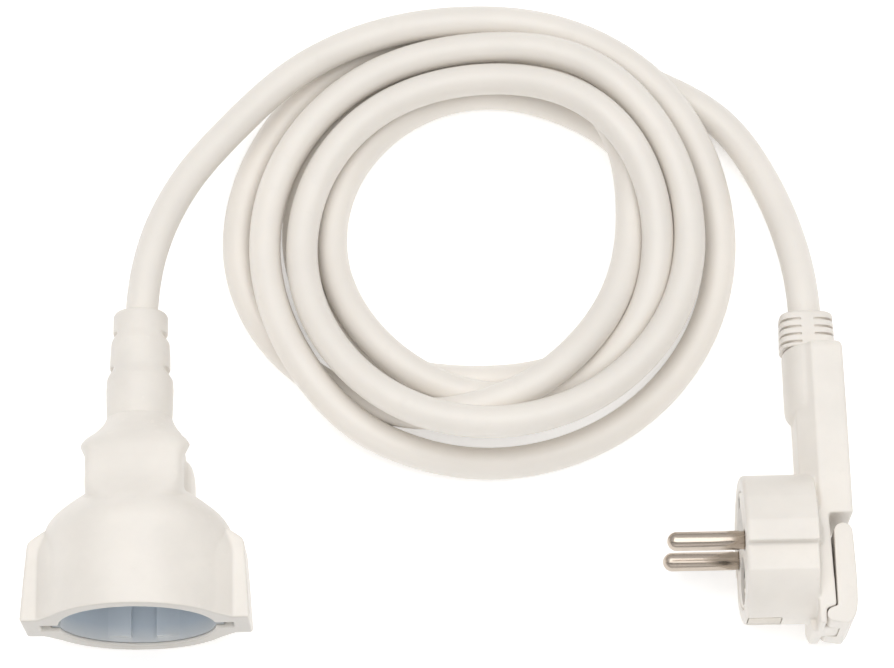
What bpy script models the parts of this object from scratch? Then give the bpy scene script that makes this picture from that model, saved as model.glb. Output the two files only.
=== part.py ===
"""Extension cord with an earthed coupling socket, a round cable in a coil and a flat angled plug.

Metres, +Z up. The set lies on a table at z = 0. The coupling's axis is x = 0, z = BELL_R, with
its mouth towards -Y, and the origin is under the middle of the coupling. The cable leaves the
coupling towards +Y, lies in one round coil and comes back to the plug, whose pins point to -X
and whose arm points to +Y. Each named object is one separate piece of the real product.
"""

import math

import bmesh
import bpy
import numpy as np
from mathutils import Matrix, Vector

MM = 0.001
GAP = 0.3 * MM                       # clearance kept between neighbouring pieces

# Cable
CABLE_R = 4.15 * MM
CORE_R = 1.0 * MM

# Coupling socket
BELL_R = 23.5 * MM                   # outer radius of the bell, so also the height of its axis
MOUTH_Y = -41.0 * MM
RECESS_R = 19.4 * MM                 # plug recess
RECESS_DEPTH = 17.5 * MM
RECESS_FLOOR_Y = MOUTH_Y + RECESS_DEPTH
LIP = 1.6 * MM                       # thickness of the lip in front of the insert
CUP_OUTER_R = 21.5 * MM
CUP_BACK_Y = RECESS_FLOOR_Y + 3.0 * MM
EAR_HALF_WIDTH = 28.3 * MM
EAR_HALF_HEIGHT = 7.7 * MM
CLIP_SLOT_X = 23.9 * MM
CLIP_SLOT_HALF = 2.4 * MM
PIN_PITCH_HALF = 9.5 * MM
NECK_END_Y = 11.2 * MM
RELIEF_END_Y = 41.0 * MM
CARRIER_HALF = (7.2 * MM, 13.6 * MM)
CARRIER_Y = (-18.8 * MM, -3.4 * MM)

# Plug
PLUG_R = 18.7 * MM                   # round body, also the height of its axis
PLUG_Y = -23.3 * MM                  # axis of the round body
FLAT_ANGLE = 30.0                    # the flats reach this far from the top and the bottom
RIB_HALF = 2.7 * MM                  # half the width of the guide rib between two flats
FACE_X = 150.5 * MM
BODY_BACK_X = 168.4 * MM
PIN_LENGTH = 19.0 * MM
PIN_R = 2.4 * MM
ARM_HALF = 10.9 * MM                 # half the arm's width, along Z
ARM_FRONT_X = 165.5 * MM
ARM_RIDGE_X = 170.0 * MM
ARM_BACK_X = 177.9 * MM
ARM_TOP_Y = 28.6 * MM
ARM_STEP_Y = -17.0 * MM              # where the arm ends above the lever
PLATE_BACK_X = 171.8 * MM
PLATE_END_Y = -44.6 * MM
CABLE_X = 170.0 * MM                 # axis of the cable in the arm
PLUG_RELIEF_HALF = (7.05 * MM, 5.8 * MM)
PLUG_RELIEF_END_Y = 38.4 * MM
BOSS_HALF = (6.6 * MM, 9.6 * MM)
EARTH_HOLE_R = 3.2 * MM
EARTH_HOLE_Y = PLUG_Y - 10.0 * MM
BRIDGE_R = 14.5 * MM
BRIDGE_BACK_X = 158.0 * MM
POCKET_BACK_X = 167.0 * MM
HINGE = (171.9 * MM, -42.9 * MM)     # lever hinge, along Z
KNUCKLE_R = 1.9 * MM
HINGE_PIN_R = 0.8 * MM
HINGE_PIN_HALF = 8.4 * MM            # the pin ends inside the lever's knuckles
LUG_HALF = 4.0 * MM

# Coil
COIL_CENTRE = (89.5 * MM, 66.0 * MM)
COIL_INNER_R = 31.0 * MM
COIL_OUTER_R = 70.9 * MM
COIL_HEIGHT = 25.0 * MM
COIL_EDGE = 3.0 * MM                 # rounding of the coil's upper edges

# Uncoiled stretches of the cable: centreline, in millimetres, chosen by hand
SOCKET_LEAD = [(0, 27, 23.5), (0, 34, 23.5), (0, 41, 23.5), (0.9, 52, 22.9), (3.6, 64, 21.4),
               (8.2, 75, 19.3), (14.3, 85.6, 17.0), (18.4, 91.2, 15.9)]
PLUG_LEAD = [(170, 15, 18.7), (170, 24, 18.7), (170, 33, 18.7), (170, 42, 18.6), (169.6, 50, 17.2),
             (168.2, 60, 14.1), (166.3, 69, 11.2), (164.4, 76.1, 8.7)]

IVORY = (0.83, 0.78, 0.70)


def clear_scene():
    for thing in list(bpy.data.objects):
        bpy.data.objects.remove(thing, do_unlink=True)


def material(name, colour, roughness, metallic=0.0):
    found = bpy.data.materials.get(name)
    if found:
        return found
    made = bpy.data.materials.new(name)
    made.use_nodes = True
    shader = made.node_tree.nodes["Principled BSDF"]
    shader.inputs["Base Color"].default_value = (*colour, 1.0)
    shader.inputs["Roughness"].default_value = roughness
    shader.inputs["Metallic"].default_value = metallic
    return made


def housing_plastic():
    return material("ivory_housing", IVORY, 0.42)


def relief_plastic():
    return material("ivory_relief", (0.80, 0.75, 0.67), 0.5)


def insert_plastic():
    return material("insert_grey", (0.52, 0.56, 0.60), 0.45)


def nickel():
    return material("nickel", (0.72, 0.68, 0.62), 0.22, 1.0)


def brass():
    return material("brass", (0.80, 0.62, 0.30), 0.3, 1.0)


def cable_sheath():
    return material("cable_sheath", (0.84, 0.79, 0.71), 0.45)


def core_insulation(colour_name):
    colours = {"brown": (0.25, 0.11, 0.05), "blue": (0.05, 0.17, 0.55), "earth": (0.45, 0.60, 0.08)}
    return material("core_" + colour_name, colours[colour_name], 0.5)


def new_object(name, mesh, finish):
    thing = bpy.data.objects.new(name, mesh)
    bpy.context.scene.collection.objects.link(thing)
    if finish:
        mesh.materials.append(finish)
    return thing


def loft(name, rings, finish=None, sharp_degrees=35.0):
    """Closed solid through rings of points that all have the same count."""
    bm = bmesh.new()
    rows = [[bm.verts.new(point) for point in ring] for ring in rings]
    count = len(rows[0])
    for lower, upper in zip(rows, rows[1:]):
        for i in range(count):
            j = (i + 1) % count
            bm.faces.new((lower[i], lower[j], upper[j], upper[i]))
    bm.faces.new(rows[0])
    bm.faces.new(rows[-1])
    bmesh.ops.recalc_face_normals(bm, faces=bm.faces)
    mesh = bpy.data.meshes.new(name)
    bm.to_mesh(mesh)
    bm.free()
    mesh.shade_smooth()
    mesh.set_sharp_from_angle(angle=math.radians(sharp_degrees))
    return new_object(name, mesh, finish)


def prism(name, outline, axis, low, high, finish=None):
    """Outline (pairs of coordinates in X, Y, Z order without the axis) pushed along an axis."""
    def place(pair, along):
        values = list(pair)
        values.insert("xyz".index(axis), along)
        return Vector(values)
    rings = [[place(pair, along) for pair in outline] for along in (low, high)]
    return loft(name, rings, finish)


def box(name, low, high, finish=None):
    outline = [(low[0], low[1]), (high[0], low[1]), (high[0], high[1]), (low[0], high[1])]
    return prism(name, outline, "z", low[2], high[2], finish)


def turned(name, profile, centre, axis, finish=None, count=32):
    """Solid of revolution; profile is (radius, place along the axis) from one end to the other."""
    def point(radius, along, angle):
        u, v = radius * math.cos(angle), radius * math.sin(angle)
        if axis == "x":
            return Vector((along, centre[0] + u, centre[1] + v))
        if axis == "y":
            return Vector((centre[0] + u, along, centre[1] + v))
        return Vector((centre[0] + u, centre[1] + v, along))
    angles = [2 * math.pi * i / count for i in range(count)]
    rings = [[point(radius, along, angle) for angle in angles] for radius, along in profile]
    return loft(name, rings, finish)


def super_ring(half_x, half_z, power, y, count=48, centre=(0.0, BELL_R)):
    """Rounded section across Y: an ellipse that grows squarer with its power."""
    ring = []
    for i in range(count):
        angle = 2 * math.pi * i / count
        c, s = math.cos(angle), math.sin(angle)
        x = half_x * math.copysign(abs(c) ** (2 / power), c)
        z = half_z * math.copysign(abs(s) ** (2 / power), s)
        ring.append(Vector((centre[0] + x, y, centre[1] + z)))
    return ring


def combine(target, tool, operation):
    tool.hide_render = True
    tool.hide_viewport = False
    tool.display_type = "WIRE"
    boolean = target.modifiers.new(operation.lower(), "BOOLEAN")
    boolean.operation = operation
    boolean.solver = "EXACT"
    boolean.object = tool


def cut(target, *tools):
    for tool in tools:
        combine(target, tool, "DIFFERENCE")


def add(target, *tools):
    for tool in tools:
        combine(target, tool, "UNION")


def smooth_points(route, spacing):
    """Points at even spacing along a smooth curve through the route's own points."""
    knots = [Vector(point) * MM for point in route]
    ends = [2 * knots[0] - knots[1], *knots, 2 * knots[-1] - knots[-2]]
    dense = []
    for i in range(1, len(ends) - 2):
        before, here, there, after = ends[i - 1:i + 3]
        for step in range(20):
            t = step / 20
            dense.append(0.5 * (2 * here + (there - before) * t
                                + (2 * before - 5 * here + 4 * there - after) * t ** 2
                                + (3 * here - before - 3 * there + after) * t ** 3))
    dense.append(knots[-1])
    lengths = np.concatenate([[0.0], np.cumsum([(b - a).length for a, b in zip(dense, dense[1:])])])
    count = max(2, round(lengths[-1] / spacing) + 1)
    wanted = np.linspace(0.0, lengths[-1], count)
    columns = [np.interp(wanted, lengths, [point[k] for point in dense]) for k in range(3)]
    return list(zip(*columns))


def tube(name, points, radius, finish, resolution=2):
    curve = bpy.data.curves.new(name, "CURVE")
    curve.dimensions = "3D"
    curve.bevel_depth = radius
    curve.bevel_resolution = resolution
    curve.use_fill_caps = True
    spline = curve.splines.new("POLY")
    spline.points.add(len(points) - 1)
    for target, source in zip(spline.points, points):
        target.co = (*source, 1.0)
    curve.materials.append(finish)
    thing = bpy.data.objects.new(name, curve)
    bpy.context.scene.collection.objects.link(thing)
    return thing


def core(name, colour_name, route):
    """One insulated core, stripped of the sheath, through hand-chosen points in millimetres."""
    return tube(name, smooth_points(route, 2.4 * MM), CORE_R, core_insulation(colour_name))


# ---------------------------------------------------------------- coupling socket

def bell_shape():
    sections = [(MOUTH_Y / MM, 23.5, 23.5, 2.0), (-17.8, 23.5, 23.5, 2.0), (-15.3, 22.5, 22.9, 2.05),
                (-12.0, 18.9, 21.2, 2.2), (-9.4, 14.6, 19.6, 2.5), (-7.6, 12.2, 18.6, 3.0),
                (1.4, 12.0, 16.4, 3.2), (4.4, 14.0, 15.2, 2.8), (5.8, 14.2, 14.4, 2.5),
                (8.4, 11.6, 11.9, 2.2), (NECK_END_Y / MM, 8.9, 9.1, 2.0)]
    rings = [super_ring(a * MM, b * MM, power, y * MM) for y, a, b, power in sections]
    return loft("coupling_housing", rings, housing_plastic())


def ear(side):
    outline = [(18.0, -19.0), (23.2, -18.4), (27.0, -20.8), (27.4, -28.0),
               (EAR_HALF_WIDTH / MM, MOUTH_Y / MM), (18.0, MOUTH_Y / MM)]
    points = [(side * x * MM, y * MM) for x, y in outline]
    return prism("ear_tool", points, "z", BELL_R - EAR_HALF_HEIGHT, BELL_R + EAR_HALF_HEIGHT)


def finger_grip(side):
    """Domed ribbed pad on the narrow side of the neck."""
    profile = [(0.6, 11.0), (3.4, 11.6), (5.6, 12.6), (6.2, 13.4), (5.2, 14.4), (3.0, 14.9), (0.6, 15.0)]
    rings = [(radius * MM, side * along * MM) for radius, along in profile]
    return turned("grip_tool", rings, (-2.8 * MM, BELL_R - 2.0 * MM), "x", count=20)


def housing_cavity():
    """Room behind the insert for the contact carrier and the three cores."""
    sections = [(-20.4, 8.0, 14.9, 8.0), (-1.0, 8.0, 14.9, 8.0), (6.4, 4.0, 6.6, 2.6), (12.0, 4.0, 4.0, 2.0)]
    rings = [super_ring(a * MM, b * MM, power, y * MM, 32) for y, a, b, power in sections]
    return loft("cavity_tool", rings)


def coupling_housing():
    housing = bell_shape()
    add(housing, ear(-1), ear(1), finger_grip(-1), finger_grip(1))
    axis = (0.0, BELL_R)
    mouth = turned("mouth_tool", [(RECESS_R, MOUTH_Y - MM), (RECESS_R, MOUTH_Y + 2 * MM)], axis, "y",
                   count=64)
    bore_r = CUP_OUTER_R + GAP
    bore = turned("bore_tool", [(bore_r, MOUTH_Y + LIP), (bore_r, CARRIER_Y[0] + GAP)], axis, "y",
                  count=48)
    slots = box("slot_tool", (-CLIP_SLOT_X, MOUTH_Y - MM, BELL_R - CLIP_SLOT_HALF),
                (CLIP_SLOT_X, CUP_BACK_Y - 1.0 * MM, BELL_R + CLIP_SLOT_HALF))
    seat = turned("seat_tool", [(6.0 * MM, 5.4 * MM), (6.0 * MM, 12.5 * MM)], axis, "y", count=32)
    cut(housing, mouth, bore, slots, housing_cavity(), seat)
    return housing


def side_slots(thing, places, centre, reach, width, inner):
    """Slots sawn into the two sides of a strain relief, leaving a spine above and below."""
    for y, side in places:
        low, high = sorted((centre[0] + side * inner, centre[0] + side * reach))
        cut(thing, box("relief_slot_tool", (low, y - width / 2, centre[1] - reach),
                       (high, y + width / 2, centre[1] + reach)))


def coupling_strain_relief():
    profile = [(5.7, 6.0), (5.7, 11.5), (7.9, 11.5), (8.0, 13.6), (8.5, 16.5), (8.5, 20.5),
               (8.0, 24.6), (7.7, 27.2), (7.4, 33.6), (7.1, 36.2), (7.0, 40.2),
               (6.3, RELIEF_END_Y / MM)]
    axis = (0.0, BELL_R)
    outer = [(r * MM, y * MM) for r, y in profile]
    relief = turned("coupling_strain_relief", outer, axis, "y", relief_plastic(), count=32)
    bore_r = CABLE_R + GAP
    cut(relief, turned("relief_bore_tool", [(bore_r, 5 * MM), (bore_r, RELIEF_END_Y + MM)], axis, "y",
                       count=24))
    notches = [(25.4 * MM, -1), (25.4 * MM, 1), (34.8 * MM, -1), (34.8 * MM, 1)]
    side_slots(relief, notches, axis, 9.5 * MM, 1.1 * MM, 5.9 * MM)
    return relief


def socket_insert():
    """Hard cup that lines the recess: wall, floor with two pin holes, guide pads and clip slots."""
    axis = (0.0, BELL_R)
    front = MOUTH_Y + LIP + GAP
    cup = turned("socket_insert", [(CUP_OUTER_R, front), (CUP_OUTER_R, CUP_BACK_Y)], axis, "y",
                 insert_plastic(), count=48)
    cut(cup, turned("cup_tool", [(RECESS_R, front - MM), (RECESS_R, RECESS_FLOOR_Y)], axis, "y", count=64))
    for up in (-1, 1):
        for side in (-1, 1):
            low_x, high_x = sorted((side * 2.95 * MM, side * 9.1 * MM))
            low_z, high_z = sorted((BELL_R + up * 17.2 * MM, BELL_R + up * 19.35 * MM))
            add(cup, box("pad_tool", (low_x, front + 1.2 * MM, low_z),
                         (high_x, RECESS_FLOOR_Y + MM, high_z)))
        hole = [(2.9 * MM, RECESS_FLOOR_Y - MM), (2.9 * MM, CUP_BACK_Y + MM)]
        cut(cup, turned("pin_hole_tool", hole, (0.0, BELL_R + up * PIN_PITCH_HALF), "y", count=20))
        low_x, high_x = sorted((up * 16.6 * MM, up * 24.5 * MM))
        cut(cup, box("clip_slot_tool", (low_x, front - MM, BELL_R - CLIP_SLOT_HALF),
                     (high_x, CUP_BACK_Y + MM, BELL_R + CLIP_SLOT_HALF)))
    return cup


def contact_carrier():
    """Block behind the cup that holds the two contact sleeves."""
    half_x, half_z = CARRIER_HALF
    carrier = box("contact_carrier", (-half_x, CARRIER_Y[0], BELL_R - half_z),
                  (half_x, CARRIER_Y[1], BELL_R + half_z), insert_plastic())
    for up in (-1, 1):
        hole = [(3.4 * MM, CARRIER_Y[0] - MM), (3.4 * MM, CARRIER_Y[1] + MM)]
        cut(carrier, turned("sleeve_hole_tool", hole, (0.0, BELL_R + up * PIN_PITCH_HALF), "y", count=20))
    post_hole = [(1.6 * MM, CARRIER_Y[0] - MM), (1.6 * MM, CARRIER_Y[1] + MM)]
    cut(carrier, turned("earth_wire_tool", post_hole, (0.0, BELL_R), "y", count=16))
    return carrier


def contact_sleeve(name, up):
    """Slit brass sleeve that grips one pin, with a solid tail for its core."""
    axis = (0.0, BELL_R + up * PIN_PITCH_HALF)
    front = CUP_BACK_Y + GAP
    sleeve = turned(name, [(3.05 * MM, front), (3.05 * MM, -3.0 * MM), (1.5 * MM, -3.0 * MM),
                           (1.5 * MM, -0.4 * MM)], axis, "y", brass(), count=20)
    bore = [(2.45 * MM, front - MM), (2.45 * MM, -4.2 * MM)]
    cut(sleeve, turned("sleeve_tool", bore, axis, "y", count=20))
    cut(sleeve, box("slit_tool", (-0.35 * MM, front - MM, axis[1]),
                    (0.35 * MM, -6.5 * MM, axis[1] + 4 * MM)))
    return sleeve


def earth_clip(name, side):
    """Bowed spring strip in the side slot; it bends outwards about its root as a plug goes in."""
    path = [(20.4, -22.2), (20.4, -24.6), (18.5, -29.0), (18.1, -31.0), (18.6, -33.0), (20.6, -37.6),
            (21.9, -38.6)]
    thick = 0.7
    inner = [Vector(point) for point in path]
    outer = []
    for i, point in enumerate(inner):
        along = (inner[min(i + 1, len(inner) - 1)] - inner[max(i - 1, 0)]).normalized()
        outer.append(point + thick * Vector((-along.y, along.x)))
    points = [(side * x * MM, y * MM) for x, y in [*inner, *reversed(outer)]]
    return prism(name, points, "z", BELL_R - 1.9 * MM, BELL_R + 1.9 * MM, nickel())


def earth_bridge():
    """Strip behind the cup that joins the two clips to the earth core."""
    low_y, high_y = CUP_BACK_Y + GAP, CARRIER_Y[0] - GAP
    bridge = box("earth_bridge", (-21.0 * MM, low_y, BELL_R - 1.9 * MM),
                 (21.0 * MM, high_y, BELL_R + 1.9 * MM), nickel())
    post = turned("post_tool", [(1.3 * MM, low_y + 0.4 * MM), (1.3 * MM, CARRIER_Y[0] + 5 * MM)],
                  (0.0, BELL_R), "y", count=16)
    add(bridge, post)
    return bridge


def coupling_cores():
    centre = BELL_R / MM
    ends = CARRIER_Y[0] / MM + 5.4
    line = [(0, 0.2, centre + 9.5), (0, 2.6, centre + 7.6), (0.3, 5.4, centre + 2.9),
            (0.6, 9, centre + 1.75), (0.6, 16, centre + 1.7), (0.6, 26, centre + 1.7)]
    neutral = [(0, 0.2, centre - 9.5), (0, 2.6, centre - 7.6), (0.6, 5.4, centre - 3.0),
               (1.0, 9, centre - 1.8), (1.0, 16, centre - 1.4), (1.0, 26, centre - 1.4)]
    earth = [(0, ends, centre), (0, -2, centre), (-0.6, 2, centre), (-1.6, 6, centre),
             (-1.75, 9, centre), (-1.75, 16, centre), (-1.75, 26, centre)]
    core("line_core_socket", "brown", line)
    core("neutral_core_socket", "blue", neutral)
    core("earth_core_socket", "earth", earth)


# ---------------------------------------------------------------- plug

def plug_outline(radius, count=36):
    """Round face with a flat on each side of a narrow guide rib, above and below."""
    start, sweep = math.radians(FLAT_ANGLE), math.radians(180.0 - 2 * FLAT_ANGLE)
    angles = [start + sweep * i / (count - 1) for i in range(count)]
    flat = radius * math.cos(start)
    right = [(radius * math.sin(angle), radius * math.cos(angle)) for angle in angles]
    left = [(-y, z) for y, z in reversed(right)]
    bottom = [(RIB_HALF, -flat), (RIB_HALF, -radius), (-RIB_HALF, -radius), (-RIB_HALF, -flat)]
    top = [(-RIB_HALF, flat), (-RIB_HALF, radius), (RIB_HALF, radius), (RIB_HALF, flat)]
    return [(PLUG_Y + y, PLUG_R + z) for y, z in [*right, *bottom, *left, *top]]


def plug_body_shape():
    outline = plug_outline(PLUG_R)
    rings = []
    for x, shrink in ((FACE_X, 0.94), (FACE_X + 0.25 * MM, 0.97), (FACE_X + 0.9 * MM, 0.993),
                      (FACE_X + 1.8 * MM, 1.0), (BODY_BACK_X, 1.0)):
        rings.append([Vector((x, PLUG_Y + (y - PLUG_Y) * shrink, PLUG_R + (z - PLUG_R) * shrink))
                      for y, z in outline])
    return loft("plug_housing", rings, housing_plastic(), 25.0)


def arm_shape():
    """Arm from its top down to the lever, with sloping front edges."""
    def section(y, front, ridge, back, half):
        slope = min(half, 4.6 * MM)
        return [Vector((x, y, PLUG_R + z)) for x, z in
                ((front, slope - half), (front, half - slope), (ridge, half), (back, half), (back, -half),
                 (ridge, -half))]
    rings = [section(ARM_STEP_Y, ARM_FRONT_X, ARM_RIDGE_X, ARM_BACK_X, ARM_HALF),
             section(10 * MM, ARM_FRONT_X, ARM_RIDGE_X, ARM_BACK_X, ARM_HALF),
             section(ARM_TOP_Y - 1.4 * MM, ARM_FRONT_X + 0.2 * MM, ARM_RIDGE_X, ARM_BACK_X - 0.2 * MM,
                     ARM_HALF),
             section(ARM_TOP_Y - 0.4 * MM, ARM_FRONT_X + 0.5 * MM, ARM_RIDGE_X, ARM_BACK_X - 0.6 * MM,
                     ARM_HALF - 0.4 * MM),
             section(ARM_TOP_Y, ARM_FRONT_X + 1.0 * MM, ARM_RIDGE_X + 0.2 * MM, ARM_BACK_X - 1.6 * MM,
                     ARM_HALF - 1.3 * MM)]
    return loft("arm_tool", rings)


def plate_shape():
    """Thin plate behind the round body, carrying the hinge lug at its free end."""
    end = PLATE_END_Y / MM
    outline = [(167.0, ARM_STEP_Y / MM + 1), (PLATE_BACK_X / MM, ARM_STEP_Y / MM + 1),
               (PLATE_BACK_X / MM, -40.2), (169.6, -41.2), (169.6, end + 0.3), (169.2, end), (165.6, end),
               (164.8, end + 0.8), (164.6, -42.0), (166.0, -38.0), (167.0, -34.0)]
    points = [(x * MM, y * MM) for x, y in outline]
    return prism("plate_tool", points, "z", PLUG_R - ARM_HALF, PLUG_R + ARM_HALF)


def hinge_lug():
    centre = (HINGE[0], HINGE[1])
    outline = []
    for i in range(13):
        angle = math.radians(-90 + 15 * i)
        outline.append((centre[0] + KNUCKLE_R * math.cos(angle),
                        centre[1] + KNUCKLE_R * math.sin(angle)))
    low = max(centre[1] - KNUCKLE_R, PLATE_END_Y)
    outline += [(168.6 * MM, centre[1] + KNUCKLE_R), (168.6 * MM, low)]
    return prism("lug_tool", outline, "z", PLUG_R - LUG_HALF, PLUG_R + LUG_HALF)


def cable_boss():
    """Half-round swelling over the cable on the wall side of the arm."""
    top = ARM_TOP_Y / MM - 1.2
    sections = [(0.3, 8.8), (0.62, 9.6), (0.84, 11.2), (0.95, 13.2), (1.0, 16.0), (1.0, top)]
    rings = [super_ring(BOSS_HALF[0] * share, BOSS_HALF[1] * share, 2.0, y * MM, 36, (CABLE_X, PLUG_R))
             for share, y in sections]
    return loft("boss_tool", rings)


def strap_channel(side):
    """Groove for one exposed limb of the earth bracket, and its way in behind the bridge."""
    low, high = sorted((PLUG_Y + side * 16.5 * MM, PLUG_Y + side * 20.0 * MM))
    groove = box("strap_groove_tool", (FACE_X - MM, low, PLUG_R - 4.3 * MM),
                 (FACE_X + 9.6 * MM, high, PLUG_R + 4.3 * MM))
    low, high = sorted((PLUG_Y, PLUG_Y + side * 18.0 * MM))
    way_in = box("strap_way_tool", (BRIDGE_BACK_X, low, PLUG_R - 4.3 * MM),
                 (FACE_X + 9.6 * MM, high, PLUG_R + 4.3 * MM))
    return groove, way_in


def plug_housing():
    housing = plug_body_shape()
    add(housing, arm_shape(), plate_shape(), hinge_lug(), cable_boss())
    axis = (PLUG_Y, PLUG_R)
    pocket_r = BRIDGE_R + GAP
    pocket = turned("pocket_tool", [(pocket_r, FACE_X - MM), (pocket_r, POCKET_BACK_X)], axis, "x",
                    count=48)
    throat = turned("throat_tool", [(4.6 * MM, POCKET_BACK_X - MM), (4.6 * MM, PLATE_BACK_X - 1.2 * MM)],
                    (PLUG_Y + 2 * MM, PLUG_R), "x", count=20)
    channel = turned("channel_tool", [(3.4 * MM, ARM_STEP_Y - 4 * MM), (3.4 * MM, 12 * MM)],
                     (CABLE_X + 0.6 * MM, PLUG_R), "y", count=20)
    cable = turned("cable_bore_tool", [(CABLE_R + GAP, 11 * MM), (CABLE_R + GAP, 25 * MM)],
                   (CABLE_X, PLUG_R), "y", count=24)
    seat = turned("relief_seat_tool", [(5.9 * MM, 17.6 * MM), (5.9 * MM, ARM_TOP_Y + 2 * MM)],
                  (CABLE_X, PLUG_R), "y", count=28)
    hole_r = HINGE_PIN_R + GAP
    hole = turned("hinge_hole_tool", [(hole_r, PLUG_R - 6 * MM), (hole_r, PLUG_R + 6 * MM)], HINGE, "z",
                  count=16)
    room_outline = [(x * MM, y * MM) for x, y in lever_room()]
    outside = ARM_HALF + MM
    room = prism("lever_room_tool", room_outline, "z", PLUG_R - outside, PLUG_R - LUG_HALF)
    other_room = prism("lever_room_tool", room_outline, "z", PLUG_R + LUG_HALF, PLUG_R + outside)
    cut(housing, pocket, throat, channel, cable, seat, hole, room, other_room)
    for side in (-1, 1):
        cut(housing, *strap_channel(side))
    return housing


def lever_room():
    """Round seat in the plate's end that leaves room for the lever's knuckles."""
    x, y = HINGE[0] / MM, HINGE[1] / MM
    reach = KNUCKLE_R / MM + 0.35
    arc = [math.radians(80 + 20 * i) for i in range(10)]
    points = [(x + reach * math.cos(a), y + reach * math.sin(a)) for a in arc]
    return [(x + 4, y + 2.6), *points, (x + 4, y - 4)]


def pin_bridge():
    """Hard disc in the plug's face that carries both pins and the earth contact."""
    front = FACE_X + 0.2 * MM
    disc = turned("pin_bridge", [(BRIDGE_R, front), (BRIDGE_R, BRIDGE_BACK_X - GAP)],
                  (PLUG_Y, PLUG_R), "x", housing_plastic(), count=48)
    holes = [(PIN_R + GAP, 0.0, PIN_PITCH_HALF), (PIN_R + GAP, 0.0, -PIN_PITCH_HALF),
             (EARTH_HOLE_R, EARTH_HOLE_Y - PLUG_Y, 0.0)]
    for radius, y, z in holes:
        cut(disc, turned("bridge_hole_tool", [(radius, front - MM), (radius, BRIDGE_BACK_X + MM)],
                         (PLUG_Y + y, PLUG_R + z), "x", count=24))
    return disc


def contact_pin(name, up):
    """Round pin with a domed tip, a collar behind the bridge and a solid tail."""
    tip = FACE_X - PIN_LENGTH
    dome = [(PIN_R * math.sin(math.radians(a)), tip + PIN_R * (1 - math.cos(math.radians(a))))
            for a in (12, 30, 50, 70, 90)]
    body = [(PIN_R, BRIDGE_BACK_X), (3.3 * MM, BRIDGE_BACK_X + 0.1 * MM),
            (3.3 * MM, BRIDGE_BACK_X + 1.4 * MM), (1.5 * MM, BRIDGE_BACK_X + 1.6 * MM),
            (1.5 * MM, BRIDGE_BACK_X + 4.4 * MM)]
    axis = (PLUG_Y, PLUG_R + up * PIN_PITCH_HALF)
    return turned(name, [*dome, *body], axis, "x", nickel(), count=24)


def plug_earth_bracket():
    """U-shaped strip: two limbs shown at the sides of the body, joined behind the bridge."""
    base_low, base_high = BRIDGE_BACK_X + 0.1 * MM, FACE_X + 9.3 * MM
    half = 4.0 * MM
    reach = 17.7 * MM
    bracket = box("plug_earth_bracket", (base_low, PLUG_Y - reach, PLUG_R - half),
                  (base_high, PLUG_Y + reach, PLUG_R + half), nickel())
    for side in (-1, 1):
        low, high = sorted((PLUG_Y + side * 16.8 * MM, PLUG_Y + side * reach))
        add(bracket, box("limb_tool", (FACE_X + 0.9 * MM, low, PLUG_R - half),
                         (base_high - 0.2 * MM, high, PLUG_R + half)))
    hole = [(EARTH_HOLE_R, base_low - MM), (EARTH_HOLE_R, base_high + MM)]
    cut(bracket, turned("bracket_hole_tool", hole, (EARTH_HOLE_Y, PLUG_R), "x", count=20))
    return bracket


def earth_socket_sleeve():
    """Female contact in the face for a socket that has an earth pin."""
    axis = (EARTH_HOLE_Y, PLUG_R)
    front, back = FACE_X + 0.6 * MM, FACE_X + 14.4 * MM
    outer = EARTH_HOLE_R - GAP
    sleeve = turned("earth_socket_sleeve", [(outer, front), (outer, back)], axis, "x", nickel(), count=24)
    bore = [(2.42 * MM, front - MM), (2.42 * MM, back - MM)]
    cut(sleeve, turned("earth_sleeve_tool", bore, axis, "x", count=24))
    return sleeve


def lever_outline():
    x, y = HINGE[0] / MM, HINGE[1] / MM
    radius = KNUCKLE_R / MM
    knuckle = [math.radians(270 - 20 * i) for i in range(9)]
    arc = [(x + radius * math.cos(a), y + radius * math.sin(a)) for a in knuckle]
    top = [(175.15 + 2.3 * math.cos(math.radians(a)), -21.9 + 2.3 * math.sin(math.radians(a)))
           for a in (170, 145, 120, 90, 60, 35, 10)]
    back = [(177.7, -28.0), (177.8, -35.0), (177.5, -41.8), (176.8, -43.6), (175.4, -44.8)]
    return [*arc, (172.85, -40.6), (172.75, -30.0), *top, *back]


def pull_lever():
    """Lever folded flat against the plate; it swings out about its lower end."""
    points = [(x * MM, y * MM) for x, y in lever_outline()]
    lever = prism("pull_lever", points, "z", PLUG_R - ARM_HALF, PLUG_R + ARM_HALF, housing_plastic())
    x, y = HINGE
    slot_r = KNUCKLE_R + 0.7 * MM
    slot = turned("lug_slot_tool", [(slot_r, PLUG_R - LUG_HALF - GAP), (slot_r, PLUG_R + LUG_HALF + GAP)],
                  HINGE, "z", count=32)
    depth = HINGE_PIN_HALF + GAP
    hole = turned("lever_hole_tool", [(HINGE_PIN_R + GAP, PLUG_R - depth),
                                      (HINGE_PIN_R + GAP, PLUG_R + depth)], HINGE, "z", count=16)
    cut(lever, slot, hole)
    pivot = bpy.data.objects.new("pull_lever_axis", None)
    pivot.location = (x, y, PLUG_R)
    bpy.context.scene.collection.objects.link(pivot)
    lever.parent = pivot
    lever.matrix_parent_inverse = Matrix.Translation(-Vector(pivot.location))
    return lever


def lever_hinge_pin():
    ends = [(HINGE_PIN_R, PLUG_R - HINGE_PIN_HALF), (HINGE_PIN_R, PLUG_R + HINGE_PIN_HALF)]
    return turned("lever_hinge_pin", ends, HINGE, "z", nickel(), count=16)


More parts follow.
